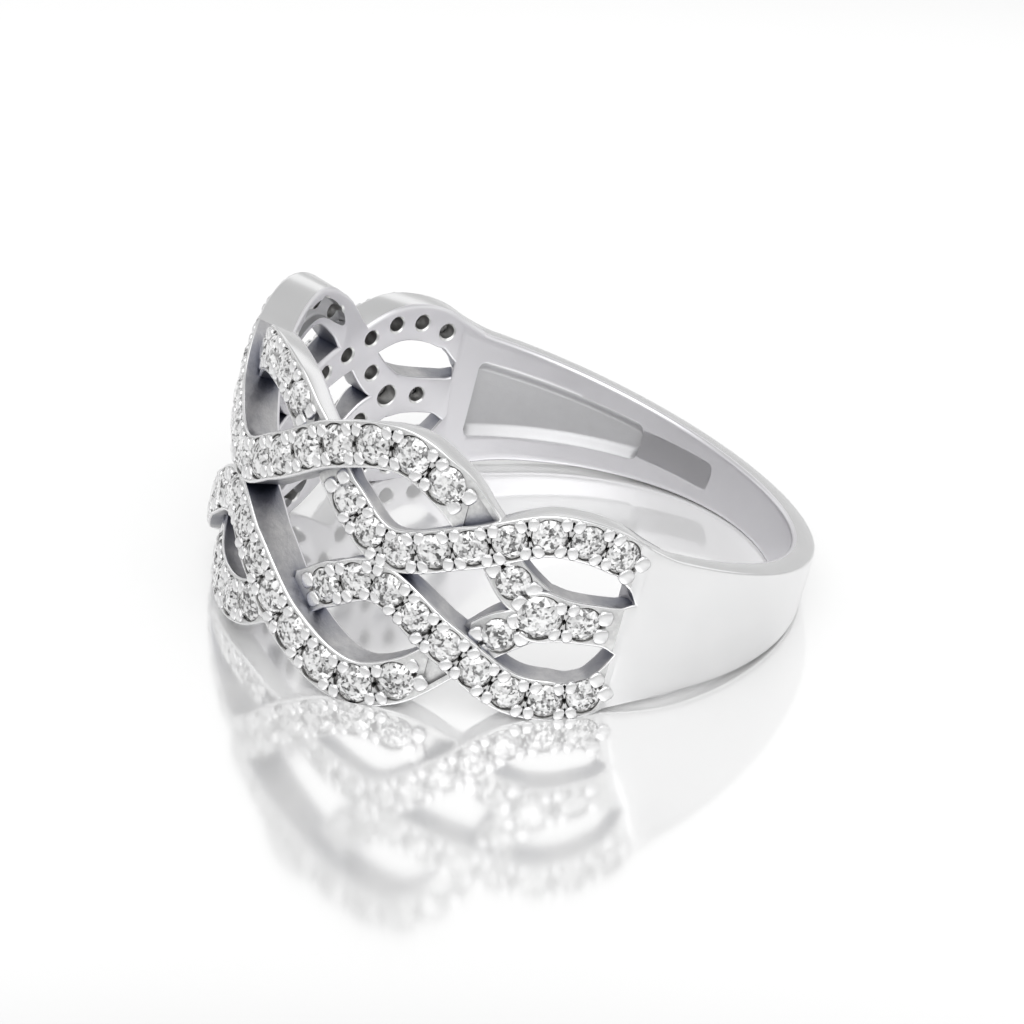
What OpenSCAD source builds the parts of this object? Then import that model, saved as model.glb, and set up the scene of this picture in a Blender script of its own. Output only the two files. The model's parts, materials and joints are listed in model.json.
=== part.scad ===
// Wave ring: an open braid of four stone-set waves on a plain tapered band, made as one casting.
// The ring lies on its side, as it would by itself. Its head points to -Y and rests a little raised.
// Angles run round the ring from the middle of the head, 0, to the back of the band, 180.
// All sizes are millimetres.

/* [Finger hole] */
// Inside diameter of the ring
bore_d = 17; // [16:0.1:18]

/* [Band] */
// Thickness of the plain band
band_wall = 0.85; // [0.75:0.05:1.1]
// How far the outer face of the band falls away at its edges
band_dome = 0.1; // [0.04:0.01:0.14]
// Half the band's width beside the finger
band_half_width = 2.57; // [2.5:0.01:2.6]
// Loss of half width for each millimetre towards the back
band_taper = 0.184; // [0.18:0.0005:0.188]
// Angle where the plain band starts
shoulder_angle = 87.6; // [87:0.1:88]

/* [Hollows inside the band] */
// Depth of the long hollow behind each shoulder
hollow_depth = 0.3; // [0.2:0.05:0.4]
// Depth of the short hollow nearer the back
back_hollow_depth = 0.15; // [0.1:0.01:0.2]
// Depth of the scoop behind each crest of the head
crest_hollow_depth = 0.6; // [0.3:0.05:0.65]

/* [Braid] */
// Height of the head above the plain band
head_rise = 1.25; // [1.2:0.01:1.3]
// Slope of the side that the ring rests on, across the ring
rest_slope = 0.222; // [0.22:0.001:0.224]
// Half height of the rest plane on the ring's axis
rest_half_height = 2.9; // [2.88:0.01:2.92]
// Angle between the sections of each wave
section_step = 2.5; // [2:0.5:4]

/* [Stones] */
// Diameter of the stones along the low parts of the waves
small_stone_d = 1.12; // [1:0.01:1.14]
// Diameter of the stones on the middle crests
large_stone_d = 1.26; // [1.1:0.01:1.27]
// Diameter of the stone where two waves join
junction_stone_d = 1.45; // [1.3:0.01:1.46]
// Spacing of the small stones along their wave
small_pitch = 1.25; // [1.24:0.005:1.26]
// Spacing of the large stones along their wave
large_pitch = 1.375; // [1.37:0.005:1.385]
// Radius of the light hole drilled behind each stone
light_hole_r = 0.27; // [0.2:0.01:0.3]
// Radius of the light hole behind the stone where two waves join
junction_hole_r = 0.37; // [0.3:0.01:0.4]
// Gap between a stone and its seat
seat_gap = 0.025; // [0.02:0.005:0.03]

/* [Hidden] */

$fa = 3;
$fs = 0.1;

// Columns of the wave tables: angle, height of the wave's middle line above the ring's middle plane,
// lift of its top face over the head's round outline, and width
ANGLE = 0;
HEIGHT = 1;
LIFT = 2;
WIDTH = 3;
// The wave with a crest in the middle of the head and one on each shoulder
shoulder_wave = [
    [0, 4.12, -0.32, 1.56],
    [8, 3.89, -0.32, 1.56],
    [16, 3.06, -0.41, 1.56],
    [22.5, 2.31, -0.5, 1.5],
    [29, 1.45, -0.45, 1.46],
    [39, 0.64, -0.4, 1.42],
    [54, 1.65, -0.08, 1.42],
    [67, 2.68, 0, 1.42],
    [75, 2.78, 0.05, 1.42],
    [82.5, 2.47, 0.05, 1.42],
    [87, 1.87, 0, 1.45],
    [92, 1.35, -0.35, 1.5],
];
// The wave with a crest halfway to each shoulder, which ends in the stem
middle_wave = [
    [0, 0.7, 0.1, 1.56],
    [12, 1.7, 0.15, 1.54],
    [25, 3.22, 0.1, 1.54],
    [38, 4, 0.02, 1.54],
    [47.5, 3.42, -0.12, 1.5],
    [57, 2, -0.5, 1.44],
    [64, 0.9, -0.12, 1.4],
    [72, 0.1, -0.2, 1.2],
];
// The stem on the middle plane, from the fork of two waves to the plain band
stem = [
    [66, 0, -0.02, 1.4],
    [70, 0, 0, 1.78],
    [75, 0, 0, 1.5],
    [79, 0, 0, 1.42],
    [87, 0, 0, 1.42],
    [92, 0, -0.35, 1.42],
];

bore_r = bore_d / 2;
band_r = bore_r + band_wall;
core_r = bore_r - 0.3;
reach = 4 * bore_r;

// Grains of metal that hold the stones, in pairs across the wave
grain_r = 0.16;
grain_offset = 0.45;

// Hollows inside the band: angles, half width on the ring's axis and its loss towards the back
long_hollow = [92.7, 136];
long_hollow_half = 1.52;
long_hollow_taper = 0.139;
short_hollow = [135, 157];
short_hollow_half = 0.75;
short_hollow_taper = 0.02;

// Scoops behind the crests of the head: angles and half width
front_scoop = [-14, 14];
middle_scoop = [27, 50];
scoop_half = 0.36;

// Rows of stones: how many to each side of the middle or in each low part, and where the others sit.
// The crest row has none in the middle
crest_side_count = 2;
middle_side_count = 7;
trough_count = 9;
trough_start_angle = 82.7;
arm_stone_angle = 63.8;
junction_angle = 70.2;
stem_stone_angle = 78.8;

// Proportions of a round cut stone, as parts of its diameter
crown_height = 0.15;
pavilion_depth = 0.42;
table_size = 0.58;
star_size = 0.774;
// How far each girdle lies under the top face of its wave
girdle_drop = 0.1;

// A value of a wave table at an angle, on a smooth curve through the rows
function row_at(t, a) = min(len(t) - 2, max(0, len([for (r = t) if (r[ANGLE] <= a) 1]) - 1));
function grade(t, c, i) =
    i == 0 ? 0 :
    i == len(t) - 1 ? (t[i][c] - t[i - 1][c]) / (t[i][ANGLE] - t[i - 1][ANGLE]) :
    (t[i + 1][c] - t[i - 1][c]) / (t[i + 1][ANGLE] - t[i - 1][ANGLE]);
function between(t, c, i, a) =
    let (h = t[i + 1][ANGLE] - t[i][ANGLE], u = (a - t[i][ANGLE]) / h)
    (2 * u ^ 3 - 3 * u ^ 2 + 1) * t[i][c] + (u ^ 3 - 2 * u ^ 2 + u) * h * grade(t, c, i)
    + (3 * u ^ 2 - 2 * u ^ 3) * t[i + 1][c] + (u ^ 3 - u ^ 2) * h * grade(t, c, i + 1);
function at(t, c, a) = between(t, c, row_at(t, abs(a)), abs(a));

// The head's outline, the top face of a wave, and how steeply the wave runs
function outline_r(a) = band_r + head_rise * max(0, cos(a)) ^ 1.5;
function outline_lean(a) = atan((outline_r(a - 0.5) - outline_r(a + 0.5)) / (outline_r(a) * PI / 180));
function top_r(t, a) = outline_r(a) + at(t, LIFT, a);
function steepness(t, a) = (at(t, HEIGHT, a + 0.5) - at(t, HEIGHT, a - 0.5)) / (top_r(t, a) * PI / 180);
function half_height(t, a) = at(t, WIDTH, a) / 2 * sqrt(1 + steepness(t, a) ^ 2);
function on_ring(a, r, z) = [r * sin(a), -r * cos(a), z];
function mirror_angle(hand, points) = [for (p = points) [hand * p[0], p[1], p[2]]];

// One section of a wave above the middle plane. Its outer wall leans with the side of the ring
function wall_lean(a, r) = rest_slope * max(0, cos(a)) * (r - core_r);
function section(t, a, side) =
    let (r = top_r(t, a), z = at(t, HEIGHT, a), h = half_height(t, a), low = max(0, z - h))
    [on_ring(a, core_r, side * low), on_ring(a, r, side * low),
     on_ring(a, r, side * (z + h)), on_ring(a, core_r, side * (z + h - wall_lean(a, r)))];

// One section of a scoop along a crest, with round ends, in the middle of the crest's finger side
function scoop_section(t, span, a, side) =
    let (u = (2 * a - span[0] - span[1]) / (span[1] - span[0]), h = scoop_half * sqrt(1.08 - u ^ 4),
         z = at(t, HEIGHT, a) - wall_lean(a, top_r(t, a)) / 2, r = bore_r + crest_hollow_depth)
    [on_ring(a, core_r, side * (z - h)), on_ring(a, r, side * (z - h)),
     on_ring(a, r, side * (z + h)), on_ring(a, core_r, side * (z + h))];

// A closed bar through sections of four points each
module bar(sections, turned) {
    last = 4 * len(sections) - 4;
    walls = [for (i = [0:4:last - 4], k = [0:3]) let (p = i + k, q = i + (k + 1) % 4)
        each [[p, q, q + 4], [p, q + 4, p + 4]]];
    ends = [[0, 3, 2], [0, 2, 1], [last, last + 1, last + 2], [last, last + 2, last + 3]];
    faces = concat(walls, ends);
    polyhedron([for (s = sections) each s], turned ? [for (f = faces) [f[0], f[2], f[1]]] : faces);
}

function section_angles(t) =
    let (first = t[0][ANGLE], last = t[len(t) - 1][ANGLE], n = ceil((last - first) / section_step))
    [for (i = [0:n]) first + (last - first) * i / n];

// A wave across the whole head, above the middle plane or below it
module wave(t, side) {
    up = section_angles(t);
    bar([for (a = concat([for (i = [len(up) - 1:-1:1]) -up[i]], up)) section(t, a, side)], side < 0);
}

// Half of the stem on one shoulder
module half_stem(hand, side) {
    bar([for (a = section_angles(stem)) section(stem, hand * a, side)], hand * side < 0);
}

// A scoop behind a crest
module scoop(t, span, hand, side) {
    n = ceil((span[1] - span[0]) / section_step);
    bar([for (i = [0:n]) let (a = span[0] + (span[1] - span[0]) * i / n)
        mirror_angle(hand, scoop_section(t, span, a, side))], hand * side < 0);
}

// Length along a wave against angle, and the places at a list of lengths
function length_step(t, a) = norm([top_r(t, a) * PI / 180, at(t, HEIGHT, a + 1) - at(t, HEIGHT, a)]);
function length_table(t) = [for (a = 0, s = 0; a <= 90; s = s + length_step(t, a), a = a + 1) [s, a]];
function length_at(t, a) = lookup(a, [for (p = length_table(t)) [p[1], p[0]]]);
function places(t, lengths) = let (p = length_table(t)) [for (s = lengths) lookup(s, p)];

// A row of stones as lengths along its wave, and the lengths of the grains before and after each
crest_row = [for (i = [1:crest_side_count]) (i - 0.5) * large_pitch];
middle_row = [for (i = [0:middle_side_count]) i * large_pitch];
trough_row = [for (i = [0:trough_count - 1]) length_at(shoulder_wave, trough_start_angle) - i * small_pitch];
function after(row, pitch) = [for (s = row) s + pitch / 2];

// Every stone but the junction stones: angle, height, radius of the top face and diameter
function place(t, a, hand, side, d) = [hand * a, side * at(t, HEIGHT, a), top_r(t, a), d];
function mirrored(t, a, d) =
    [for (hand = a == 0 ? [1] : [1, -1], side = t == stem ? [1] : [1, -1]) place(t, a, hand, side, d)];
small_stones = [
    for (a = places(shoulder_wave, crest_row)) each mirrored(shoulder_wave, a, large_stone_d),
    for (a = places(shoulder_wave, trough_row)) each mirrored(shoulder_wave, a, small_stone_d),
    for (a = places(middle_wave, middle_row)) each mirrored(middle_wave, a, large_stone_d),
    each mirrored(middle_wave, arm_stone_angle, small_stone_d),
    each mirrored(stem, stem_stone_angle, small_stone_d),
];
function junction_place(hand) = place(stem, junction_angle, hand, 0, junction_stone_d);

// Grains: angle, height and radius, a pair on the two edges of the wave at each place
function grain_pair(t, a, hand, side) =
    let (lean = atan(steepness(t, a)), r = top_r(t, a), turn = grain_offset * sin(lean) / (r * PI / 180))
    [for (e = [1, -1]) [hand * (a - e * turn), side * (at(t, HEIGHT, a) + e * grain_offset * cos(lean)), r]];
function grains_along(t, lengths) =
    [for (a = places(t, lengths), hand = a == 0 ? [1] : [1, -1], side = [1, -1])
        each grain_pair(t, a, hand, side)];
grains = concat(
    grains_along(shoulder_wave, concat([0], after(crest_row, large_pitch))),
    grains_along(shoulder_wave, after(concat(trough_row, [trough_row[trough_count - 1] - small_pitch]), small_pitch)),
    grains_along(middle_wave, after(middle_row, large_pitch)));

// The resting pose, and the ring's front and back in it, which centre the ring over the origin.
// The grains on the lowest crest are its front
rest_tilt = atan(rest_slope);
rest_lift = rest_half_height * cos(rest_tilt);
front_y = grain_r + max([for (g = grains) g[2] * cos(g[0]) * cos(rest_tilt) - g[1] * sin(rest_tilt)]);
back_y = band_r * cos(rest_tilt) + (band_half_width - band_taper * band_r) * sin(rest_tilt);
centre_shift = (front_y - back_y) / 2;

// Puts its children on the head, with their own Z out of the top face
module seated(s) {
    rotate([0, 0, s[0]]) translate([0, -s[2], s[1]])
        rotate([0, 0, outline_lean(s[0])]) rotate([90, 0, 0])
            translate([0, 0, -girdle_drop]) children();
}

// A round cut stone on its girdle: a table, 8 stars, 8 kites and 16 halves above, 16 facets below
module cut_stone(d) {
    r = d / 2;
    star_z = crown_height * d * (1 - star_size * cos(22.5)) / (1 - table_size);
    points = concat(
        [for (i = [0:7]) [r * table_size * cos(45 * i), r * table_size * sin(45 * i), crown_height * d]],
        [for (i = [0:7]) [r * star_size * cos(45 * i + 22.5), r * star_size * sin(45 * i + 22.5), star_z]],
        [for (i = [0:15]) [r * cos(22.5 * i), r * sin(22.5 * i), 0]],
        [[0, 0, -pavilion_depth * d]]);
    table = [[7, 6, 5, 4, 3, 2, 1, 0]];
    stars = [for (i = [0:7]) [i, (i + 1) % 8, 8 + i]];
    kites = [for (i = [0:7]) each [[i, 8 + i, 16 + 2 * i], [i, 16 + 2 * i, 8 + (i + 7) % 8]]];
    halves = [for (i = [0:7]) let (g = 16 + 2 * i, next = 16 + (2 * i + 2) % 16)
        each [[8 + i, g + 1, g], [8 + i, next, g + 1]]];
    below = [for (i = [0:15]) [16 + i, 16 + (i + 1) % 16, 32]];
    polyhedron(points, concat(table, stars, kites, halves, below));
}

// The room for a stone, open to the finger through its light hole
module seat(d, hole_r) {
    r = d / 2 + seat_gap;
    throat_z = -seat_gap - (r - hole_r) * 2 * pavilion_depth;
    rotate_extrude() polygon([[0, -3], [hole_r, -3], [hole_r, throat_z], [r, -seat_gap], [r, 1], [0, 1]]);
}

// The room between two planes that close towards the back
module side_taper(half, taper) {
    near = half + taper * reach;
    far = half - taper * reach;
    rotate([90, 0, 90]) linear_extrude(2 * reach, center = true)
        polygon([[-reach, -near], [reach, -far], [reach, far], [-reach, near]]);
}

// The plain band, behind the shoulders
module plain_band() {
    far = reach * [sin(shoulder_angle), -cos(shoulder_angle)];
    intersection() {
        rotate_extrude()
            polygon([[core_r, -3], [band_r - band_dome, -3], [band_r - band_dome / 3, -1.7], [band_r, -0.6],
                     [band_r, 0.6], [band_r - band_dome / 3, 1.7], [band_r - band_dome, 3], [core_r, 3]]);
        side_taper(band_half_width, band_taper);
        linear_extrude(reach, center = true)
            polygon([[0, 0], far, [reach, reach], [-reach, reach], [-far[0], far[1]]]);
    }
}

// A hollow in the inner face of the band, on one side
module hollow(span, depth, half, taper, hand) {
    intersection() {
        cylinder(h = reach, r = bore_r + depth, center = true);
        side_taper(half, taper);
        linear_extrude(reach, center = true)
            polygon([[0, 0], for (a = [span[0], (span[0] + span[1]) / 2, span[1]]) reach * [hand * sin(a), -cos(a)]]);
    }
}

module resting() {
    translate([0, centre_shift, rest_lift]) rotate([-rest_tilt, 0, 0]) children();
}

module casting() {
    difference() {
        union() {
            plain_band();
            for (side = [1, -1]) {
                wave(shoulder_wave, side);
                wave(middle_wave, side);
                half_stem(1, side);
                half_stem(-1, side);
            }
            for (g = grains) seated([g[0], g[1], g[2] + girdle_drop]) sphere(grain_r);
        }
        cylinder(h = reach, r = bore_r, center = true);
        for (hand = [1, -1]) {
            hollow(long_hollow, hollow_depth, long_hollow_half, long_hollow_taper, hand);
            hollow(short_hollow, back_hollow_depth, short_hollow_half, short_hollow_taper, hand);
            seated(junction_place(hand)) seat(junction_stone_d, junction_hole_r);
        }
        for (side = [1, -1]) {
            scoop(shoulder_wave, front_scoop, 1, side);
            scoop(middle_wave, middle_scoop, 1, side);
            scoop(middle_wave, middle_scoop, -1, side);
        }
        for (s = small_stones) seated(s) seat(s[3], light_hole_r);
    }
}

module band() {
    color("silver") difference() {
        resting() casting();
        translate([0, 0, -reach / 2]) cube(reach, center = true);
    }
}

module stones() {
    color("azure") resting() for (s = small_stones) seated(s) cut_stone(s[3]);
}

module junction_stone(hand) {
    color("aliceblue") resting() seated(junction_place(hand)) cut_stone(junction_stone_d);
}

band();
stones();
junction_stone(1);  // junction_stone_right
junction_stone(-1);  // junction_stone_left
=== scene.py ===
import json
import math
import random

import bmesh
import bpy
import numpy as np
from mathutils import Matrix, Vector


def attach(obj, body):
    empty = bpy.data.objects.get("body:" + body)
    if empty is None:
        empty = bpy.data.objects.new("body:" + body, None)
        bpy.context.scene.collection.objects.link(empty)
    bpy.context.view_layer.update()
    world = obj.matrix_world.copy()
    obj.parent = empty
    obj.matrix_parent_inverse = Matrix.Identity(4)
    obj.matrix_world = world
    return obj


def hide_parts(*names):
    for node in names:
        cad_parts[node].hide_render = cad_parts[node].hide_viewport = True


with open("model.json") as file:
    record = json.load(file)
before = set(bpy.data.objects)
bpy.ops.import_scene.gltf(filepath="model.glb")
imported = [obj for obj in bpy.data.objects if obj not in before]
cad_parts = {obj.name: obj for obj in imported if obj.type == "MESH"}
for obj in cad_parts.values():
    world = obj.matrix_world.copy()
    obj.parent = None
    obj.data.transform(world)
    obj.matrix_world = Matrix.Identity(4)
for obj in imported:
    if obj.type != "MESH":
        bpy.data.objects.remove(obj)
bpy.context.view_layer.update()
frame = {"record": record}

# The casting. The real ring is one casting of white gold: a plain tapered band that opens into a
# braid of four waves, which meet in a short stem on each shoulder. Its outside is polished, its
# inside has a satin finish, and the walls of the windows still show the file.
MM = 0.001
# Each row of a wave's table: the angle from the middle of the head, the height of the wave's middle
# line, how far its top stands above the head's outline, and its width
ANGLE, HEIGHT, LIFT, WIDTH = range(4)
shoulder_rows = [
    (0, 4.12, -0.32, 1.56),
    (8, 3.89, -0.32, 1.56),
    (16, 3.06, -0.41, 1.56),
    (22.5, 2.31, -0.5, 1.5),
    (29, 1.45, -0.45, 1.46),
    (39, 0.64, -0.4, 1.42),
    (54, 1.65, -0.08, 1.42),
    (67, 2.68, 0, 1.42),
    (75, 2.78, 0.05, 1.42),
    (82.5, 2.47, 0.05, 1.42),
    (87, 1.87, 0, 1.45),
    (92, 1.35, -0.35, 1.5),
]
middle_rows = [
    (0, 0.7, 0.1, 1.56),
    (12, 1.7, 0.15, 1.54),
    (25, 3.22, 0.1, 1.54),
    (38, 4, 0.02, 1.54),
    (47.5, 3.42, -0.12, 1.5),
    (57, 2, -0.5, 1.44),
    (64, 0.9, -0.12, 1.4),
    (72, 0.1, -0.2, 1.2),
]
stem_rows = [
    (66, 0, -0.02, 1.4),
    (70, 0, 0, 1.78),
    (75, 0, 0, 1.5),
    (79, 0, 0, 1.42),
    (87, 0, 0, 1.42),
    (92, 0, -0.35, 1.42),
]
bore = next(m for m in frame["record"]["mounts"] if m["name"] == "finger_bore")
bore_r = bore["dims"]["r_mm"]
bore_tilt = math.atan2(bore["axis"][1], bore["axis"][2])
resting = (Matrix.Translation(Vector(bore["pos_m"])) @ Matrix.Rotation(-bore_tilt, 4, "X")
           @ Matrix.Scale(MM, 4))
rest_slope = math.tan(bore_tilt)
band_wall = 0.85
band_r = bore_r + band_wall
# The band's outside falls by this much at this height
band_dome = 0.1
dome_half = 3
band_half_width = 2.57
band_taper = 0.184
band_start = 88.4
blend_start = 85.5
# The head's outline stands above the band's by this much in the middle, and less by this power of
# the cosine
head_rise = 1.25
head_falloff = 1.5
# The inside of the head stands back from the finger, so that the waves keep this wall
even_wall = 1.12
relief_softness = 0.08
inner_round = 0.1
lip_round = 0.16
outer_round = 0.08
corner_steps = 4
band_facets = 24
# The faces that the band shows in the windows slope: they start this much earlier at the finger,
# and this much later below the stem, which is 2 * stem_half wide there. The slope is gone slant_fade
# degrees from the band's start
band_slant = 2.2
low_delay = 1.3
slant_fade = 8
stem_half = 0.7
end_round = 0.06
section_step = 0.75
# The waves' inner faces lie this far under each other, so that they don't share a surface
flush_step = 0.004
# Each shoulder's edges run into the band in a sweep: its height where the band starts, and its end.
# UP is the side that faces away from the floor
UP, DOWN = 1, -1
sweeps = {UP: (0.2, 96), DOWN: (0.28, 105)}
sweep_start = 82
sweep_falloff = 1.5
# Near the band the windows change their shape, in steps of angle and distance: a wave's edge moves
# away from the stem by this, and the stem's own edges move out by this
windows = {UP: [(80, 0), (86, 0.3), (88.4, -0.05), (92, -0.05)],
           DOWN: [(75, 0), (80, 0.14), (84.5, 0.2), (90, -0.6), (92, -0.6)]}
upper_stem = [(85, 0), (88.4, 0.14), (92, 0.14)]
lower_stem = [(83, 0), (88.4, 0.32), (92, 0.32)]

# The finishes of the casting's faces, in the order of its material slots
POLISHED, BRUSHED, SATIN, SEAT, HOLLOW, WORKED = range(6)


def turned(angle, r, z):
    """A point of the ring: angle from the middle of the head, radius and height, in millimetres."""
    a = math.radians(angle)
    return Vector((r * math.sin(a), -r * math.cos(a), z))


def outline_r(angle):
    """The head's round outline."""
    return band_r + head_rise * max(0, math.cos(math.radians(angle))) ** head_falloff


def set_back(angle):
    """How far the inside of the head stands back from the finger."""
    spare = max(0, outline_r(angle) - even_wall - bore_r)
    return spare * spare / (spare + relief_softness)


def outline_lean(angle):
    """How far the outline turns away from a circle round the finger, in degrees."""
    fall = outline_r(angle - 0.5) - outline_r(angle + 0.5)
    return math.degrees(math.atan(fall / math.radians(outline_r(angle))))


def flushness(angle):
    """How far a wave has blended into the plain band: 0 on the head, 1 where the band starts."""
    u = max(0, min(1, (abs(angle) - blend_start) / (band_start - blend_start)))
    return u * u * (3 - 2 * u)


def curve(u, span, start, start_grade, end, end_grade):
    """A smooth curve between two values with given slopes, at a share u of the span."""
    return ((2 * u**3 - 3 * u**2 + 1) * start + (u**3 - 2 * u**2 + u) * span * start_grade
            + (3 * u**2 - 2 * u**3) * end + (u**3 - u**2) * span * end_grade)


def eased(angle, steps):
    """A value that goes from step to step of a table of angles and values, level at each."""
    angles = [a for a, _ in steps]
    i = int(np.clip(np.searchsorted(angles, angle), 1, len(steps) - 1))
    (a, low), (b, high) = steps[i - 1:i + 1]
    return curve(max(0, min(1, (angle - a) / (b - a))), b - a, low, 0, high, 0)


class Wave:
    """A wave of the braid, on smooth curves through the rows of its table."""

    def __init__(self, rows):
        self.rows = rows
        self.last = rows[-1][ANGLE]
        self.lengths = [0.0]
        for a in range(int(self.last)):
            rise = self.height(a + 1) - self.height(a)
            self.lengths.append(self.lengths[-1] + math.hypot(math.radians(self.top(a)), rise))

    def grade(self, column, i):
        if i == 0:
            return 0
        j = min(i + 1, len(self.rows) - 1)
        rise = self.rows[j][column] - self.rows[i - 1][column]
        return rise / (self.rows[j][ANGLE] - self.rows[i - 1][ANGLE])

    def value(self, column, angle):
        a = abs(angle)
        i = max(0, min(len(self.rows) - 2, sum(r[ANGLE] <= a for r in self.rows) - 1))
        span = self.rows[i + 1][ANGLE] - self.rows[i][ANGLE]
        u = (a - self.rows[i][ANGLE]) / span
        return curve(u, span, self.rows[i][column], self.grade(column, i),
                     self.rows[i + 1][column], self.grade(column, i + 1))

    def height(self, angle):
        return self.value(HEIGHT, angle)

    def top(self, angle):
        """The radius of the top face. Near the plain band it runs flush into the band's surface."""
        flush = flushness(angle)
        return outline_r(angle) + self.value(LIFT, angle) * (1 - flush) - 2 * flush_step * flush

    def steepness(self, angle):
        rise = self.height(angle + 0.5) - self.height(angle - 0.5)
        return rise / math.radians(self.top(angle))

    def half_height(self, angle):
        return self.value(WIDTH, angle) / 2 * math.hypot(1, self.steepness(angle))

    def length_at(self, angle):
        return float(np.interp(abs(angle), range(len(self.lengths)), self.lengths))

    def angle_at(self, length):
        return math.copysign(float(np.interp(abs(length), self.lengths, range(len(self.lengths)))), length)


shoulder_wave = Wave(shoulder_rows)
middle_wave = Wave(middle_rows)
stem = Wave(stem_rows)


def closed_mesh(name, points, faces, finishes):
    """A closed mesh in the ring's own frame, in millimetres, with a finish for each face."""
    mesh = bpy.data.meshes.new(name)
    mesh.from_pydata(points, [], faces)
    mesh.polygons.foreach_set("material_index", finishes)
    work = bmesh.new()
    work.from_mesh(mesh)
    bmesh.ops.recalc_face_normals(work, faces=work.faces)
    work.to_mesh(mesh)
    work.free()
    piece = bpy.data.objects.new(name, mesh)
    bpy.context.scene.collection.objects.link(piece)
    return piece


def swept(name, sections, finish_of):
    """A closed bar through sections of as many points each. finish_of gives the finish of the
    face that starts at a section and a point of it."""
    n = len(sections[0])
    last = (len(sections) - 1) * n
    faces = []
    finishes = []
    for i in range(len(sections) - 1):
        for k in range(n):
            p = i * n + k
            q = i * n + (k + 1) % n
            faces.append((p, q, q + n, p + n))
            finishes.append(finish_of(i, k))
    faces += [tuple(range(n)), tuple(range(last + n - 1, last - 1, -1))]
    finishes += [finish_of(0, 0), finish_of(0, 0)]
    return closed_mesh(name, [p for s in sections for p in s], faces, finishes)


def rounded_box(low_r, high_r, low_z, high_z, rounds, stretch=1):
    """The outline of a section with rounded edges, as pairs of radius and height. It starts at the
    inner edge of the high wall, and rounds are the sizes of its edges from there. stretch widens
    them along the ring's axis."""
    starts = [(180, 1), (90, 1), (0, -1), (-90, -1)]
    outline = []
    for i in range(4):
        size = rounds[i]
        r = low_r + size if i in (0, 3) else high_r - size
        start, side = starts[i]
        z = high_z if side > 0 else low_z
        for step in range(corner_steps + 1):
            turn = math.radians(start - 90 * step / corner_steps)
            outline.append((r + size * math.cos(turn), z + size * stretch * (math.sin(turn) - side)))
    return outline


def band_edge(angle, r, side):
    """The height of the band's edge, with the sweep of the shoulder."""
    a = min(abs(angle), 360 - abs(angle))
    height, end = sweeps[side]
    sweep = height * max(0, (end - a) / (end - band_start)) ** sweep_falloff
    return band_half_width + band_taper * r * math.cos(math.radians(a)) + sweep


def outer_edge(wave, angle, side):
    """The height of a wave's outer edge. A shoulder's edge sweeps on into the band's."""
    a = abs(angle)
    if wave is stem:
        return wave.half_height(a) + eased(a, upper_stem)
    if wave is middle_wave or a <= sweep_start:
        return wave.height(a) + wave.half_height(a)
    if a >= band_start:
        return band_edge(a, band_r, side) - 2 * flush_step
    start = outer_edge(wave, sweep_start, side)
    end = band_edge(band_start, band_r, side) - 2 * flush_step
    return curve((a - sweep_start) / (band_start - sweep_start), band_start - sweep_start,
                 start, start - outer_edge(wave, sweep_start - 1, side),
                 end, band_edge(band_start + 1, band_r, side) - band_edge(band_start, band_r, side))


def inner_edge(wave, angle, side):
    low = wave.height(angle) - wave.half_height(angle)
    if wave is shoulder_wave:
        low += eased(abs(angle), windows[side])
    if wave is stem:
        low -= eased(abs(angle), lower_stem)
    return low


def bar_sections(wave, side, angles, inner_r):
    """The sections of a wave on one side of the middle plane."""
    sections = []
    for a in angles:
        top = wave.top(a)
        inner = inner_r + set_back(a)
        low = inner_edge(wave, a, side)
        high = outer_edge(wave, a, side)
        lean = rest_slope * max(0, math.cos(math.radians(a)))
        lip = lip_round if wave is shoulder_wave else inner_round
        outline = rounded_box(inner, top, low, high, (lip, outer_round, outer_round, inner_round),
                              math.hypot(1, wave.steepness(a)))
        points = []
        dome = band_dome * flushness(a)
        for r, h in outline:
            share = (h - low) / (high - low)
            fall = dome * (h / dome_half) ** 2 * (r - inner) / (top - inner)
            points.append(turned(a, r - fall, side * (h - share * lean * (top - r))))
        sections.append(points)
    return sections


def bar_finish(angles, polished_spans):
    """Inner face satin, top face worked up to the band, and side walls brushed but for the spans
    that show outside the braid."""
    per_corner = corner_steps + 1

    def finish_of(i, k):
        corner, step = divmod(k, per_corner)
        middle = abs(angles[i])
        if corner == 3 or (corner == 0 and step < corner_steps):
            return SATIN
        if corner == 0:
            return POLISHED if any(a < middle < b for a, b in polished_spans) else BRUSHED
        if corner == 1 and step == corner_steps:
            return WORKED if middle < blend_start else POLISHED
        if corner == 2 and step == corner_steps:
            return BRUSHED
        return POLISHED

    return finish_of


def shaped(piece, others, operation):
    """Joins other closed pieces to a piece, or cuts them out of it."""
    for other in others:
        cut = piece.modifiers.new(other.name, "BOOLEAN")
        cut.operation = operation
        cut.solver = "MANIFOLD"
        cut.object = other
    bpy.context.view_layer.update()
    solid = bpy.data.meshes.new_from_object(piece.evaluated_get(bpy.context.evaluated_depsgraph_get()))
    piece.modifiers.clear()
    piece.data = solid
    for other in others:
        bpy.data.objects.remove(other)


def steps_between(first, last, step=section_step):
    n = math.ceil((last - first) / step)
    return [first + (last - first) * i / n for i in range(n + 1)]


def bar(name, wave, side, first, last, inner_r, polished_spans):
    angles = steps_between(first, last)
    return swept(name, bar_sections(wave, side, angles, inner_r), bar_finish(angles, polished_spans))


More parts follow.
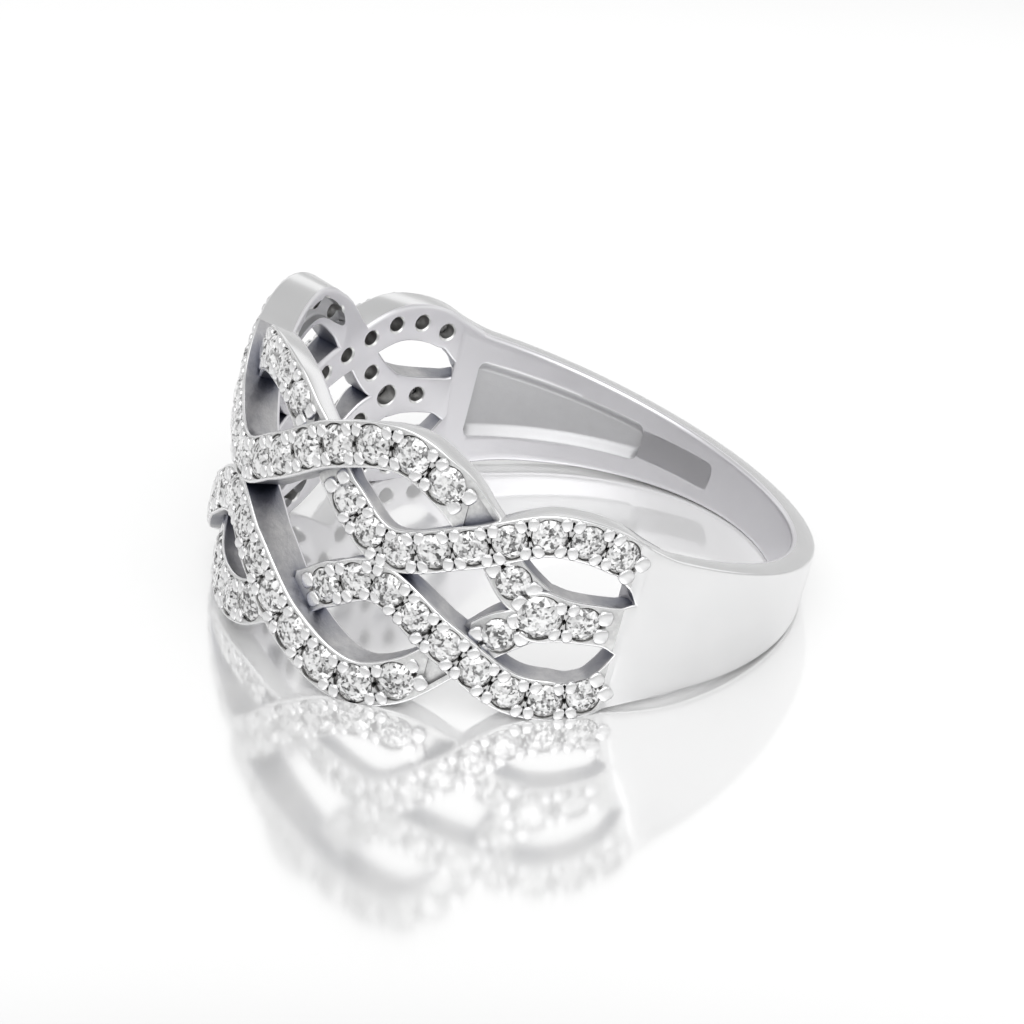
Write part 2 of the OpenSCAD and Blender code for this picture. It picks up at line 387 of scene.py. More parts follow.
def band_section(angle, shrink):
    """A section of the plain band: domed outside, with rounded edges."""
    low_r = bore_r - flush_step + shrink
    high_r = band_r - shrink

    def edge(r, side, inset):
        return side * (band_edge(angle, r, side) - shrink - inset)

    def point(r, z):
        near = max(0, 1 - (min(angle, 360 - angle) - band_start) / slant_fade)
        below = max(0, min(1, 0.5 - z / (2 * stem_half)))
        slant = near * (band_slant * (band_r - r) / band_wall - low_delay * below)
        return turned(angle - math.copysign(slant, 180 - angle), r, z)

    points = []
    for side in (UP, DOWN):
        edge_r = high_r - band_dome * (edge(high_r, side, 0) / dome_half) ** 2
        arcs = [(low_r + lip_round, lip_round, 180, 90), (edge_r - outer_round, outer_round, 90, 0)]
        if side == DOWN:
            arcs = [(r, size, end, start) for r, size, start, end in reversed(arcs)]
        for r, size, start, end in arcs:
            for i in range(corner_steps + 1):
                turn = math.radians(start + (end - start) * i / corner_steps)
                at_r = r + size * math.cos(turn)
                points.append(point(at_r, edge(at_r, side, size * (1 - math.sin(turn)))))
        inset = outer_round if side == UP else lip_round
        at_r = edge_r if side == UP else low_r
        first = edge(at_r, side, inset)
        last = edge(at_r, -side, inset)
        for i in range(1, band_facets):
            z = first + (last - first) * i / band_facets
            points.append(point(high_r - band_dome * (z / dome_half) ** 2 if side == UP else low_r, z))
    return points


def band_finish(i, k):
    """The inner face is satin, from the middle of one rounded edge to the middle of the other."""
    arcs = 2 * (corner_steps + 1)
    if k < corner_steps or k >= arcs + band_facets - 1 + arcs - 1 - corner_steps:
        return SATIN
    return POLISHED


def band_places():
    """Angle and shrink of each section. The ends, which show in the windows, are rounded."""
    start = []
    for turn in (0, 30, 60):
        inset = end_round * (1 - math.cos(math.radians(turn)))
        shrink = end_round * (1 - math.sin(math.radians(turn)))
        start.append((band_start + math.degrees(inset / band_r), shrink))
    first = band_start + math.degrees(end_round / band_r)
    whole = [(a, 0) for a in steps_between(first, 360 - first)]
    return start + whole + [(360 - a, shrink) for a, shrink in reversed(start)]


band_piece = swept("casting", [band_section(a, shrink) for a, shrink in band_places()], band_finish)

# Where the side walls of the waves show outside the braid
outside_crest = [(-1, 22)]
outside_shoulder = [(57, 95)]
outside_middle = [(23, 60)]
# Where a row of stones ends before a crossing, a flat filed patch takes its place, behind a rail
patch_depth = 0.12
patch_rail = 0.24
patch_span = 3
cutter_height = 1
crest_patch = (16.6, 21)
middle_patch = (52, 58)


def patch(wave, first, last, hand, side):
    sections = []
    for a in steps_between(first, last):
        stretch = math.hypot(1, wave.steepness(a))
        top = wave.top(a)
        high = outer_edge(wave, a, side) - patch_rail * stretch
        low = high - patch_span
        outline = [(top - patch_depth, high), (top + cutter_height, high), (top + cutter_height, low),
                   (top - patch_depth, low)]
        sections.append([turned(hand * a, r, side * z) for r, z in outline])
    return swept("patch", sections, lambda i, k: WORKED)


parts = [band_piece]
for side in (UP, DOWN):
    crest = bar("shoulder_wave", shoulder_wave, side, -shoulder_wave.last, shoulder_wave.last,
                bore_r, outside_crest + outside_shoulder)
    shaped(crest, [patch(shoulder_wave, *crest_patch, hand, side) for hand in (1, -1)], "DIFFERENCE")
    middle = bar("middle_wave", middle_wave, side, -middle_wave.last, middle_wave.last,
                 bore_r + flush_step, outside_middle)
    shaped(middle, [patch(middle_wave, *middle_patch, hand, side) for hand in (1, -1)], "DIFFERENCE")
    parts += [crest, middle]
parts.append(bar("stem_right", stem, 1, stem_rows[0][ANGLE], stem.last, bore_r + 2 * flush_step, []))
parts.append(bar("stem_left", stem, 1, stem_rows[0][ANGLE], stem.last, bore_r + 2 * flush_step, []))
for v in parts[-1].data.vertices:
    v.co.x = -v.co.x
parts[-1].data.flip_normals()

casting = parts[0]
shaped(casting, parts[1:], "UNION")

# The hollows inside the band and behind the crests. The real ones were in the wax model: shallow
# trays with a soft floor, which save metal and leave a rim along each edge.
hollow_corner = 0.28
bank_width = 0.5
bank_steps = 10
hollow_step = 0.5
# The cutters start this far inside the finger hole, and a hollow's soft bank this far
cutter_reach = 0.3
bank_start = 0.02
hollows = [
    # first and last angle, depth, half width beside the finger, its loss towards the back
    (92.7, 136, 0.3, 1.6, 0.139),
    (135, 157, 0.15, 0.75, 0.02),
]
crest_hollow_depth = 0.3
scoop_half = 0.36
scoop_rounds = (0.01, 0.1, 0.1, 0.01)
scoop_bluntness = 0.02
scoops = [(shoulder_wave, -14, 14, 1), (middle_wave, 27, 50, 1), (middle_wave, 27, 50, -1)]


def corner_loss(distance, corner):
    """What a round corner takes off the half width, at a distance from the end."""
    return corner - math.sqrt(corner**2 - max(0, corner - distance) ** 2)


def hollow(first, last, depth, half, taper, hand):
    """The cutter of a tray inside the band, with soft banks along both its edges."""
    bank = [(u, u * u * (3 - 2 * u)) for u in np.linspace(0, 1, bank_steps + 1)]
    start_r = bore_r - bank_start
    sections = []
    for a in steps_between(first, last, hollow_step):
        distance = math.radians(min(a - first, last - a)) * bore_r
        h = half + taper * bore_r * math.cos(math.radians(a)) - corner_loss(distance, hollow_corner)
        half_outline = [(bore_r - cutter_reach, -h)]
        half_outline += [(start_r + (depth + bank_start) * rise, -h + bank_width * u) for u, rise in bank]
        outline = half_outline + [(r, -z) for r, z in reversed(half_outline)]
        sections.append([turned(hand * a, r, z) for r, z in outline])
    return swept("hollow", sections, lambda i, k: HOLLOW)


def scoop(wave, first, last, hand, side):
    """The cutter of a hollow that runs along the inside of a wave's crest."""
    sections = []
    for a in steps_between(first, last, hollow_step):
        u = (2 * a - first - last) / (last - first)
        h = scoop_half * math.sqrt(1 + scoop_bluntness - u**4)
        lean = rest_slope * max(0, math.cos(math.radians(a))) * (wave.top(a) - bore_r)
        z = wave.height(a) - lean / 2
        inner = bore_r + set_back(a)
        outline = rounded_box(inner - cutter_reach, inner + crest_hollow_depth, z - h, z + h, scoop_rounds)
        sections.append([turned(hand * a, r, side * height) for r, height in outline])
    return swept("scoop", sections, lambda i, k: HOLLOW)


for span in hollows:
    shaped(casting, [hollow(*span, hand) for hand in (1, -1)], "DIFFERENCE")
shaped(casting, [scoop(*row, side) for row in scoops for side in (1, -1)], "DIFFERENCE")

# The seats. A burr cut a round seat into the waves for each stone, with a light hole through to the
# finger, and a graver split the metal left between two seats, so that a dark star shows there.
girdle_drop = 0.06
light_hole_r = 0.27
junction_hole_r = 0.37
countersink = 0.07
seat_clearance = 0.02
pavilion_depth = 0.42
small_d = 1.12
large_d = 1.26
junction_d = 1.45
small_pitch = 1.25
large_pitch = 1.375
seat_sides = 36
seat_flare = 0.03
# The shelf lies this far under the girdle, the flare starts this far above the wave, and the cutter
# reaches this far down and up
shelf_gap = 0.03
flare_start = 0.02
burr_reach = (-3, 0.9)
# Corners of a quarter of each cut: along the wave and across it. A cut narrows to a point below
star_outline = [(0.12, 0), (0.045, 0.05), (0, 0.12)]
star_depth = 0.6
groove_outline = [(0.085, 0), (0.07, 0.09), (0, 0.185)]
groove_depth = 0.2
groove_across = 0.42
notch_outline = [(0.2, 0), (0.07, 0.07), (0, 0.13)]
notch_depth = 0.2
notch_back = 0.09
cut_top = 0.15
# Cuts nearer to each other than this are made in separate rounds, because they may touch
seats_apart = 1.9
stars_apart = 1.1
grooves_apart = 0.7
# Where the last stone of each row sits, and where the stones, the gap and the end of the stem are
shoulder_last = 82.7
middle_last = 63.8
junction_angle = 70.2
stem_gap = 74.9
stem_last = 78.8
stem_end = 82.7
# How many stones the crest's row has, the middle wave's on each side of its middle one, and the
# shoulder's
crest_count = 4
middle_reach = 7
shoulder_count = 9


class Place:
    """A place on top of a wave: its angle, height and radius, and the way the wave runs there."""

    def __init__(self, wave, angle, hand, side):
        a = abs(angle)
        self.angle = hand * angle
        self.height = side * wave.height(a)
        self.r = wave.top(a)
        self.lean = math.atan(wave.steepness(angle)) * hand * side

    def frame(self, along=0.0, across=0.0, up=0.0):
        """Axes along the wave, across it towards the upper side, and out of the ring."""
        turn = Matrix.Rotation(math.radians(self.angle + outline_lean(self.angle)), 4, "Z")
        stand = turn @ Matrix.Rotation(math.radians(90), 4, "X") @ Matrix.Rotation(self.lean, 4, "Z")
        return Matrix.Translation(turned(self.angle, self.r, self.height)) @ stand @ Matrix.Translation(
            (along, across, up))


class Row:
    """A row of stones along a wave: lengths from the middle of the head, and their diameter."""

    def __init__(self, wave, lengths, diameter, pitch, hand, side):
        self.stones = [(Place(wave, wave.angle_at(s), hand, side), diameter) for s in lengths]
        middles = [s + pitch / 2 for s in [lengths[0] - pitch] + lengths]
        places = [Place(wave, wave.angle_at(s), hand, side) for s in middles]
        self.gaps = places[1:-1]
        self.ends = [(places[0], hand), (places[-1], -hand)]


def mirrored_rows(wave, lengths, diameter, pitch):
    return [Row(wave, lengths, diameter, pitch, hand, side) for hand in (1, -1) for side in (1, -1)]


crest_lengths = [(i - (crest_count - 1) / 2) * large_pitch for i in range(crest_count)]
middle_lengths = [i * large_pitch for i in range(-middle_reach, middle_reach + 1)]
shoulder_length = shoulder_wave.length_at(shoulder_last)
shoulder_lengths = [shoulder_length - i * small_pitch for i in range(shoulder_count - 1, -1, -1)]
rows = [Row(shoulder_wave, crest_lengths, large_d, large_pitch, 1, side) for side in (1, -1)]
rows += [Row(middle_wave, middle_lengths, large_d, large_pitch, 1, side) for side in (1, -1)]
rows += mirrored_rows(shoulder_wave, shoulder_lengths, small_d, small_pitch)
rows += mirrored_rows(middle_wave, [middle_wave.length_at(middle_last)], small_d, small_pitch)
stem_stones = [(Place(stem, stem_last, hand, 1), small_d) for hand in (1, -1)]
junction_stones = [(Place(stem, junction_angle, hand, 1), junction_d) for hand in (1, -1)]
small_stones = [stone for row in rows for stone in row.stones] + stem_stones
gaps = [gap for row in rows for gap in row.gaps] + [Place(stem, stem_gap, hand, 1) for hand in (1, -1)]
# The ends of the rows, with the way back to the row's last stone
ends = [end for row in rows for end in row.ends]
ends += [(Place(stem, stem_end, hand, 1), -hand) for hand in (1, -1)]


def lathed(profile, sides):
    """Points and faces of a turned shape, from pairs of radius and height. The first and last pair
    are on the axis."""
    points = [(0, 0, profile[0][1])]
    faces = []
    for r, z in profile[1:-1]:
        points += [(r * math.cos(t), r * math.sin(t), z) for t in np.linspace(0, 2 * math.pi, sides, False)]
    points.append((0, 0, profile[-1][1]))
    end = len(points) - 1
    for k in range(sides):
        n = (k + 1) % sides
        faces.append((0, 1 + n, 1 + k))
        faces.append((end, end - sides + k, end - sides + n))
        for i in range(len(profile) - 3):
            p = 1 + i * sides
            faces.append((p + k, p + n, p + n + sides, p + k + sides))
    return points, faces


def gathered(name, shapes, finish=0):
    """One mesh of many shapes, each with its own place."""
    points = []
    faces = []
    for matrix, (corners, sides) in shapes:
        start = len(points)
        points += [matrix @ Vector(p) for p in corners]
        faces += [tuple(start + i for i in f) for f in sides]
    return closed_mesh(name, points, faces, [finish] * len(faces))


def seat(place, d):
    """The burr's cut: a seat with the stone's own slope, and a light hole, countersunk at the finger."""
    hole_r = junction_hole_r if d == junction_d else light_hole_r
    r = d / 2 + seat_clearance
    mouth = hole_r + countersink
    flare = r + seat_flare
    shelf = -girdle_drop - shelf_gap
    throat = shelf - (r - hole_r) * 2 * pavilion_depth
    finger = bore_r + set_back(place.angle) - place.r
    bottom, top = burr_reach
    profile = [(0, bottom), (mouth, bottom), (mouth, finger), (hole_r, finger + countersink),
               (hole_r, throat), (r, shelf), (flare, flare_start), (flare, top), (0, top)]
    return lathed(profile, seat_sides)


def graver_cut(quarter, depth):
    """A pointed cut with the outline that a quarter of it gives at the wave's top face."""
    outline = (quarter[:-1] + [(-x, y) for x, y in reversed(quarter)][:-1]
               + [(-x, -y) for x, y in quarter][:-1] + [(x, -y) for x, y in reversed(quarter)][:-1])
    n = len(outline)
    wider = (depth + cut_top) / depth
    points = [(x * wider, y * wider, cut_top) for x, y in outline] + [(0, 0, -depth), (0, 0, cut_top)]
    faces = [(k, n, (k + 1) % n) for k in range(n)] + [((k + 1) % n, n + 1, k) for k in range(n)]
    return points, faces


def apart(places, clearance):
    """Sorts shapes into groups in which no two touch."""
    groups = []
    for matrix, shape in places:
        spot = matrix.translation
        for group in groups:
            if all((spot - other.translation).length > clearance for other, _ in group):
                group.append((matrix, shape))
                break
        else:
            groups.append([(matrix, shape)])
    return groups


seats = [(place.frame(), seat(place, d)) for place, d in small_stones + junction_stones]
stars = [(place.frame(), graver_cut(star_outline, star_depth)) for place in gaps]
stars += [(place.frame(along=back * notch_back), graver_cut(notch_outline, notch_depth))
          for place, back in ends]
grooves = [(place.frame(across=w * groove_across), graver_cut(groove_outline, groove_depth))
           for place in gaps for w in (1, -1)]
for group in apart(seats, seats_apart):
    shaped(casting, [gathered("seat", group, SEAT)], "DIFFERENCE")
# The stars take the seat's finish: their darkness is partly the real shade of the cut and partly painted
# shade.
for group in apart(stars, stars_apart):
    shaped(casting, [gathered("star", group, SEAT)], "DIFFERENCE")
# The grooves take the worked finish, with its painted shade in the cut.
for group in apart(grooves, grooves_apart):
    shaped(casting, [gathered("groove", group, WORKED)], "DIFFERENCE")


def rest_on_floor(piece):
    """Flattens what would reach below the surface that the ring lies on."""
    for v in piece.data.vertices:
        v.co.z = max(0, v.co.z)


sharp_angle = math.radians(28)
casting.data.transform(resting)
rest_on_floor(casting)
casting.data.polygons.foreach_set("use_smooth", [True] * len(casting.data.polygons))
casting.data.set_sharp_from_angle(angle=sharp_angle)
even = casting.modifiers.new("even", "WEIGHTED_NORMAL")
even.mode = "FACE_AREA"
even.keep_sharp = True
bpy.context.view_layer.update()
casting.data = bpy.data.meshes.new_from_object(casting.evaluated_get(bpy.context.evaluated_depsgraph_get()))
casting.modifiers.clear()


class Tone:
    """A shader socket that takes part in sums, so that a finish reads as a formula."""

    def __init__(self, nodes, socket):
        self.nodes = nodes
        self.socket = socket

    def math(self, operation, first, second):
        return self.nodes.node("ShaderNodeMath", {"operation": operation}, {0: first, 1: second})

    def __add__(self, other):
        return self.math("ADD", self, other)

    def __mul__(self, other):
        return self.math("MULTIPLY", self, other)

    def __pow__(self, other):
        return self.math("POWER", self, other)

    __radd__ = __add__
    __rmul__ = __mul__


def set_stops(ramp, stops):
    """Sets a grey ramp from pairs of position and brightness. The first is at 0 and the last at 1."""
    for position, grey in stops[1:-1]:
        ramp.elements.new(position).color = (grey, grey, grey, 1)
    for end in (0, -1):
        grey = stops[end][1]
        ramp.elements[end].color = (grey, grey, grey, 1)


class Nodes:
    """The node tree of a material or of the world."""

    def __init__(self, tree):
        self.tree = tree

    def node(self, kind, settings=None, inputs=None, output=0):
        """Adds a node: its settings first, then the value or link of each socket."""
        node = self.tree.nodes.new(kind)
        for key, value in (settings or {}).items():
            if key == "stops":
                set_stops(node.color_ramp, value)
            else:
                setattr(node, key, value)
        for key, value in (inputs or {}).items():
            self.put(node.inputs[key], value)
        return Tone(self, node.outputs[output])

    def put(self, socket, value):
        if isinstance(value, Tone):
            self.tree.links.new(value.socket, socket)
        else:
            socket.default_value = value


class Finish(Nodes):
    """A material made of nodes. Its shader's own settings are given by name."""

    def __init__(self, name, **settings):
        self.material = bpy.data.materials.new(name)
        self.material.use_nodes = True
        super().__init__(self.material.node_tree)
        self.shader = self.tree.nodes["Principled BSDF"]
        self.set(**settings)

    def place(self):
        return self.node("ShaderNodeTexCoord", output="Object")

    def cloud(self, scale, detail=3.0, roughness=0.55, stretch=None):
        """Soft noise from 0 to 1, at a scale in features for each metre."""
        where = self.place()
        if stretch:
            where = self.node("ShaderNodeMapping", {}, {"Vector": where, "Scale": stretch})
        return self.node("ShaderNodeTexNoise", {}, {"Vector": where, "Scale": scale, "Detail": detail,
                                                    "Roughness": roughness})

    def colour(self, low, high, share):
        """A mix of two colours. The sockets of the node go by number: the factor, and both colours."""
        return self.node("ShaderNodeMix", {"data_type": "RGBA"}, {0: share, 6: (*low, 1), 7: (*high, 1)}, 2)

    def bump(self, height, strength, distance):
        return self.node("ShaderNodeBump", {}, {"Height": height, "Strength": strength, "Distance": distance})

    def set(self, **inputs):
        for key, value in inputs.items():
            self.put(self.shader.inputs[key.replace("_", " ")], value)
        return self.material

    def painted_occlusion(self, distance):
        """How open a spot is, from 0 deep in a corner to 1 on open metal. It darkens colours as painted
        shade.
        """
        return self.node("ShaderNodeAmbientOcclusion", {"samples": 4}, {"Distance": distance}, "AO")


def polished_gold():
    """High polish with the faint waviness that a buffing wheel leaves."""
    gold = Finish("polished_gold", Metallic=1.0)
    haze = gold.cloud(900)
    return gold.set(Base_Color=gold.colour((0.8, 0.8, 0.805), (0.86, 0.86, 0.862), haze),
                    Roughness=0.2 + haze * 0.06,
                    Normal=gold.bump(gold.cloud(350), 0.05, 0.00005))


def brushed_gold():
    """Filed walls: darker, with tool marks across the wall, and turned dark blue-grey in the corners by
    painted shade.
    """
    gold = Finish("brushed_gold", Metallic=1.0)
    marks = gold.cloud(5200, 4.0, 0.75, (1.0, 1.0, 0.2))
    stain = gold.cloud(1900, 6.0, 0.75)
    # Painted shade: occlusion darkens the colour towards dark blue-grey in the corners, mottled by stains.
    mottle_and_painted_shade = gold.painted_occlusion(0.0012) ** 2.0 * (0.3 + stain * 0.85)
    return gold.set(Base_Color=gold.colour((0.09, 0.1, 0.15), (0.72, 0.71, 0.7), mottle_and_painted_shade),
                    Roughness=0.26 + marks * 0.2,
                    Normal=gold.bump(marks, 0.4, 0.00005))


def satin_gold():
    """The inside of the ring, tumbled to an even satin."""
    gold = Finish("satin_gold", Metallic=1.0)
    grain = gold.cloud(6000, 3.0, 0.6)
    haze = gold.cloud(500)
    return gold.set(Base_Color=gold.colour((0.76, 0.752, 0.775), (0.84, 0.833, 0.855), haze),
                    Roughness=0.3 + haze * 0.1,
                    Normal=gold.bump(grain, 0.1, 0.00002))


def seat_gold():
    """The cut walls round the stones, mottled, and darkened by painted shade deep in the seats."""
    gold = Finish("seat_gold", Metallic=1.0)
    stain = gold.cloud(2600, 3.0, 0.6)
    # Painted shade: the colour darkens where the wall lies deep and close to other metal.
    mottle_and_painted_shade = gold.painted_occlusion(0.0004) * (0.6 + stain * 0.6)
    return gold.set(Base_Color=gold.colour((0.34, 0.335, 0.33), (0.85, 0.85, 0.84), mottle_and_painted_shade),
                    Roughness=0.3 + stain * 0.15,
                    Normal=gold.bump(stain, 0.2, 0.00003))


def hollow_gold():
    """The cast floor of the hollows, rougher and darker in colour than the rest of the inside, with painted
    shade in its corners.
    """
    gold = Finish("hollow_gold", Metallic=1.0)
    skin = gold.cloud(2400, 5.0, 0.7)
    # Painted shade: occlusion darkens the colour at the banks and corners of the hollows.
    mottle_and_painted_shade = gold.painted_occlusion(0.0004) * (0.7 + skin * 0.4)
    return gold.set(Base_Color=gold.colour((0.42, 0.42, 0.43), (0.62, 0.62, 0.63), mottle_and_painted_shade),
                    Roughness=0.4 + skin * 0.15,
                    Normal=gold.bump(skin, 0.35, 0.00004))


def worked_gold():
    """The metal between the stones, as the graver left it, with painted shade that darkens it in the cuts."""
    gold = Finish("worked_gold", Metallic=1.0)
    nick = gold.cloud(5200, 4.0, 0.65)
    # Painted shade: occlusion darkens the colour in the cuts, mottled by tool nicks.
    mottle_and_painted_shade = gold.painted_occlusion(0.00022) * (0.4 + nick * 0.9)
    return gold.set(Base_Color=gold.colour((0.16, 0.16, 0.165), (0.8, 0.8, 0.795), mottle_and_painted_shade),
                    Roughness=0.3 + nick * 0.2,
                    Normal=gold.bump(nick, 0.4, 0.00004))


# Emptying the slots forgets which face has which finish, so that is kept and put back
finish_marks = np.zeros(len(casting.data.polygons), dtype=np.int32)
casting.data.polygons.foreach_get("material_index", finish_marks)
casting.data.materials.clear()
for finish in (polished_gold, brushed_gold, satin_gold, seat_gold, hollow_gold, worked_gold):
    casting.data.materials.append(finish())
casting.data.polygons.foreach_set("material_index", finish_marks)
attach(casting, "root")
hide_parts("band")

# The prongs. Each is a grain of the casting's own metal, pushed over the edge of a stone and rounded
# with a beading tool. Two pairs stand between neighbouring stones, and two beads close each row.
# They are blunt rather than round: a blockiness of 2 is a ball, and more comes nearer to a block.
prong_along = 0.2
prong_across = 0.45
prong_size = (0.18, 0.225, 0.1)
prong_turn = 0.3
end_bead_across = 0.31
end_bead_size = (0.25, 0.26, 0.09)
blockiness = 3.2


def grain(sides, rings):
    """A rounded block that fits in a box from -1 to 1."""
    turns = [math.pi * i / rings for i in range(rings + 1)]
    points, faces = lathed([(math.sin(t), -math.cos(t)) for t in turns], sides)
    sizes = [sum(abs(c) ** blockiness for c in p) ** (1 / blockiness) for p in points]
    return [tuple(c / size for c in p) for p, size in zip(points, sizes)], faces


prong_grain = grain(12, 8)
bead_grain = grain(16, 8)


def prongs_at(place):
    return [(place.frame(e * prong_along, w * prong_across) @ Matrix.Rotation(-e * w * prong_turn, 4, "Z")
             @ Matrix.Diagonal((*prong_size, 1)), prong_grain) for e in (1, -1) for w in (1, -1)]


prong_shapes = [shape for place in gaps for shape in prongs_at(place)]
prong_shapes += [(place.frame(across=w * end_bead_across) @ Matrix.Diagonal((*end_bead_size, 1)), bead_grain)
                 for place, _ in ends for w in (1, -1)]
prongs = gathered("prongs", [(resting @ m, shape) for m, shape in prong_shapes])
prongs.data.polygons.foreach_set("use_smooth", [True] * len(prongs.data.polygons))
rest_on_floor(prongs)
prongs.data.materials.append(casting.data.materials[POLISHED])
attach(prongs, "root")

# The stones. Round brilliants, colourless, each with a flat table, a crown of 32 facets and a deep
# pavilion. The mosaic of light and dark that the pavilion would show through the table is painted on.
crown_height = 0.15
table_size = 0.58
star_size = 0.774
table_split = 0.3
girdle_height = 0.025
random.seed(7)


def brilliant(d, painted_lights):
    """A round cut stone on its girdle. Facets are split along the lines of the pavilion behind them."""
    r = d / 2
    top = crown_height * d
    star_z = top * (1 - star_size * math.cos(math.radians(22.5))) / (1 - table_size)

    def ring(radius, z, n, shift=0.0):
        return [(radius * math.cos(math.radians(360 / n * (i + shift))),
                 radius * math.sin(math.radians(360 / n * (i + shift))), z) for i in range(n)]

    # The points start with the table's corners. Each name is the number of its first point
    points = ring(r * table_size, top, 8) + ring(r * star_size, star_z, 8, 0.5) + ring(r, 0, 16)
    points += ring(r, -girdle_height * d, 16) + [(0, 0, -pavilion_depth * d)]
    points += ring(r * table_split, top, 8, 0.5) + [(0, 0, top)]
    star, girdle, under, culet, split, centre = 8, 16, 32, 48, 49, 57
    faces = []
    for i in range(8):
        n = (i + 1) % 8
        before = (i + 7) % 8
        rim, next_rim, last_rim = girdle + 2 * i, girdle + 2 * i + 1, girdle + (2 * i + 2) % 16
        faces += [(i, n, split + i), (centre, split + before, i, split + i)]
        faces += [(i, star + i, n)]
        faces += [(i, rim, star + i), (i, star + before, rim)]
        faces += [(star + i, rim, next_rim), (star + i, next_rim, last_rim)]
    for i in range(16):
        n = (i + 1) % 16
        faces += [(girdle + i, under + i, under + n, girdle + n), (under + i, culet, under + n)]
    # Each facet gets a random share of painted light.
    painted_lights += [random.random() for _ in faces]
    return points, faces


def set_stones(name, stones):
    painted_lights = []
    shapes = [(resting @ place.frame(up=-girdle_drop) @ Matrix.Rotation(random.random(), 4, "Z"),
               brilliant(d, painted_lights)) for place, d in stones]
    piece = gathered(name, shapes)
    shade = piece.data.attributes.new("facet_tone", "FLOAT", "FACE")
    shade.data.foreach_set("value", painted_lights)
    piece.data.materials.append(stone_material)
    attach(piece, "root")
    return piece


def brilliant_stone():
    """Clear stone drawn opaque, with its mirrored light painted on: each facet and each glint gets its own
    painted brightness, from dark to white.
    """
    stone = Finish("brilliant_stone", Metallic=0.5, Roughness=0.02, IOR=2.4)
    painted_light_share = stone.node("ShaderNodeAttribute", {"attribute_name": "facet_tone"}, {}, "Fac")
    painted_glint = stone.node("ShaderNodeTexVoronoi", {}, {"Vector": stone.place(), "Scale": 12500.0}, "Color")
    spot = stone.node("ShaderNodeSeparateColor", {}, {"Color": painted_glint}, "Red")
    # The facet values and the glints paint the stone's reflected light and dark into its colour.
    stops = [(0.0, 0.02), (0.22, 0.1), (0.38, 0.42), (0.5, 0.7), (0.68, 0.9), (1.0, 1.0)]
    shade = stone.node("ShaderNodeValToRGB", {"stops": stops}, {"Fac": painted_light_share * 0.45 + spot * 0.55})
    return stone.set(Base_Color=shade)


stone_material = brilliant_stone()
stones = set_stones("brilliants", small_stones)
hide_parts("stones")

# The junction stones. These are the two largest brilliants, one on each shoulder, where two waves run
# into the stem. Each is set like the others, in a seat of its own with prongs round it.
right_stone = set_stones("junction_brilliant_right", junction_stones[:1])
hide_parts("junction_stone_right")
left_stone = set_stones("junction_brilliant_left", junction_stones[1:])
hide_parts("junction_stone_left")

# The floor. A sheet of white gloss acrylic, on which the ring lies, mirrors it softly. It is part of
# the stage and not of the ring.
floor_mesh = bpy.data.meshes.new("floor")
floor_half = 1.5
floor_mesh.from_pydata([(x * floor_half, y * floor_half, 0) for x, y in ((-1, -1), (1, -1), (1, 1), (-1, 1))],
                       [], [(0, 1, 2, 3)])
floor = bpy.data.objects.new("floor", floor_mesh)
bpy.context.scene.collection.objects.link(floor)


def gloss_acrylic():
    """White sheet, with about half of its light mirrored by the gloss on top."""
    white = (0.95, 0.95, 0.95, 1)
    sheet = Finish("gloss_acrylic", Base_Color=white, Roughness=1.0, Specular_IOR_Level=0.0)
    matt = Tone(sheet, sheet.shader.outputs[0])
    mirror = sheet.node("ShaderNodeBsdfAnisotropic", {}, {"Color": white, "Roughness": 0.1})
    both = sheet.node("ShaderNodeMixShader", {}, {0: 0.52, 1: matt, 2: mirror})
    sheet.put(sheet.tree.nodes["Material Output"].inputs["Surface"], both)
    return sheet.material


floor_mesh.materials.append(gloss_acrylic())

# The studio. A white tent of cloth stands round the ring, with a bright belt at mid height, and a
# soft lamp shines through it from above the camera.
lamp_azimuth = math.radians(70)
lamp_elevation = math.radians(62)
# Height of each stop as the sine of its angle above the floor, and how bright the cloth is there
tent_stops = [(0.0, 0.235), (0.28, 0.22), (0.31, 0.39), (0.57, 0.39), (0.6, 0.22), (1.0, 0.22)]
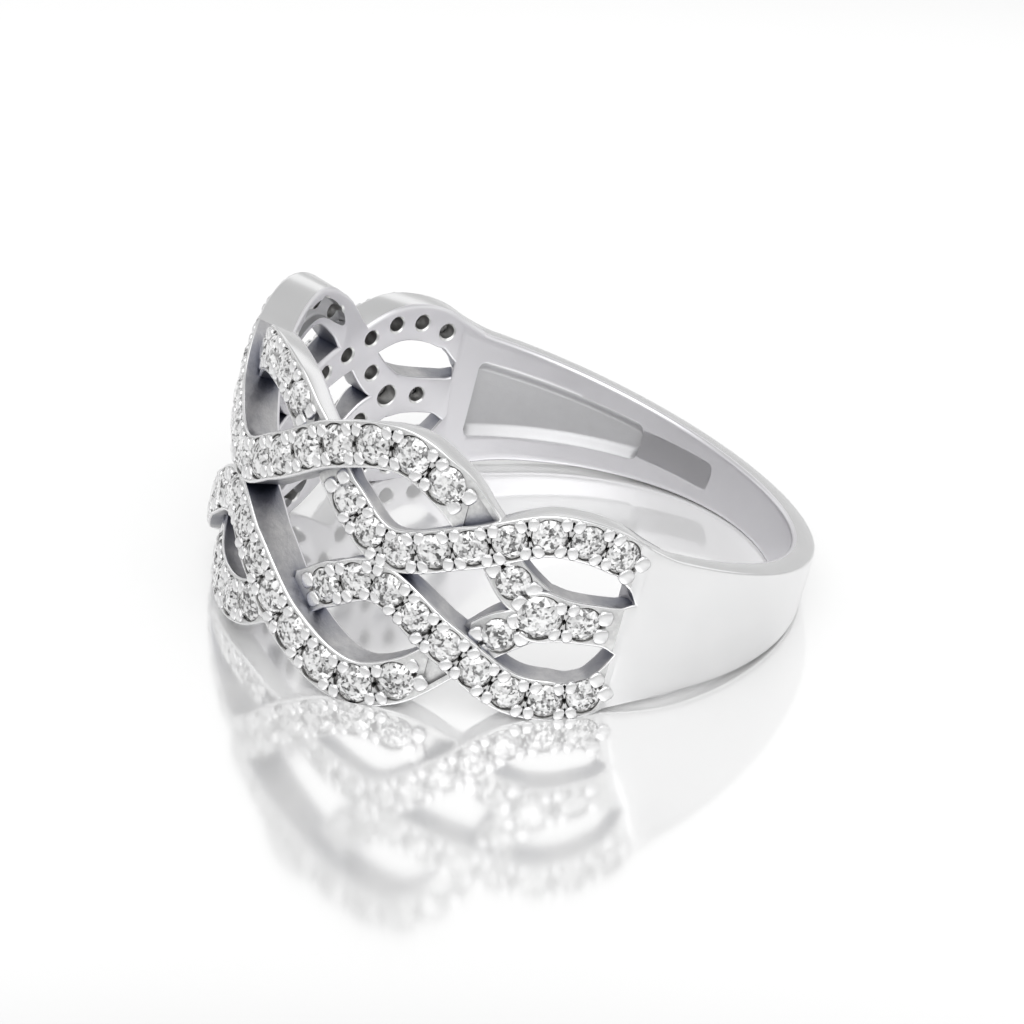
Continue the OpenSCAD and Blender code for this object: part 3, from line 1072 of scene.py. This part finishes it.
# Cosine of the angle from the middle of the lamp, and how bright the lamp is there
lamp_stops = [(0.0, 0.0), (0.78, 0.0), (0.9, 0.42), (1.0, 0.6)]
tent_strength = 2.8


def way_to(azimuth, elevation):
    """The direction to a place round the ring. Azimuth 0 is in front of the head's middle, at -Y."""
    level = math.cos(elevation)
    return Vector((level * math.sin(azimuth), -level * math.cos(azimuth), math.sin(elevation)))


world = bpy.data.worlds.new("tent")
world.use_nodes = True
bpy.context.scene.world = world
tent = Nodes(world.node_tree)
look = tent.node("ShaderNodeTexCoord", output="Generated")
height = tent.node("ShaderNodeSeparateXYZ", {}, {"Vector": look}, "Z")
facing = tent.node("ShaderNodeVectorMath", {"operation": "DOT_PRODUCT"},
                   {0: look, 1: way_to(lamp_azimuth, lamp_elevation)}, "Value")
cloth = tent.node("ShaderNodeValToRGB", {"stops": tent_stops}, {"Fac": height})
lamp = tent.node("ShaderNodeValToRGB", {"stops": lamp_stops}, {"Fac": facing})
both = tent.node("ShaderNodeVectorMath", {"operation": "ADD"}, {0: cloth, 1: lamp})
background = tent.tree.nodes["Background"]
tent.put(background.inputs["Color"], both)
tent.put(background.inputs["Strength"], tent_strength)

# The camera. It stands to the ring's right and above it, at the photograph's angle, tilted a little.
camera_place = Vector((95.865, -34.910, 53.820)) * MM
camera_azimuth = math.radians(69.997)
camera_elevation = math.radians(26.690)
camera_roll = math.radians(2.462)
back = way_to(camera_azimuth, camera_elevation)
right = Vector((math.cos(camera_azimuth), math.sin(camera_azimuth), 0))
up = back.cross(right)
rolled_right = right * math.cos(camera_roll) + up * math.sin(camera_roll)
rolled_up = up * math.cos(camera_roll) - right * math.sin(camera_roll)
camera_data = bpy.data.cameras.new("camera")
camera_data.sensor_width = 36
camera_data.lens = 119.53
camera_data.clip_start = 0.005
camera = bpy.data.objects.new("camera", camera_data)
axes = Matrix((rolled_right, rolled_up, back)).transposed()
camera.matrix_world = Matrix.Translation(camera_place) @ axes.to_4x4()
bpy.context.scene.collection.objects.link(camera)
bpy.context.scene.camera = camera
bpy.context.scene.view_settings.view_transform = "Standard"
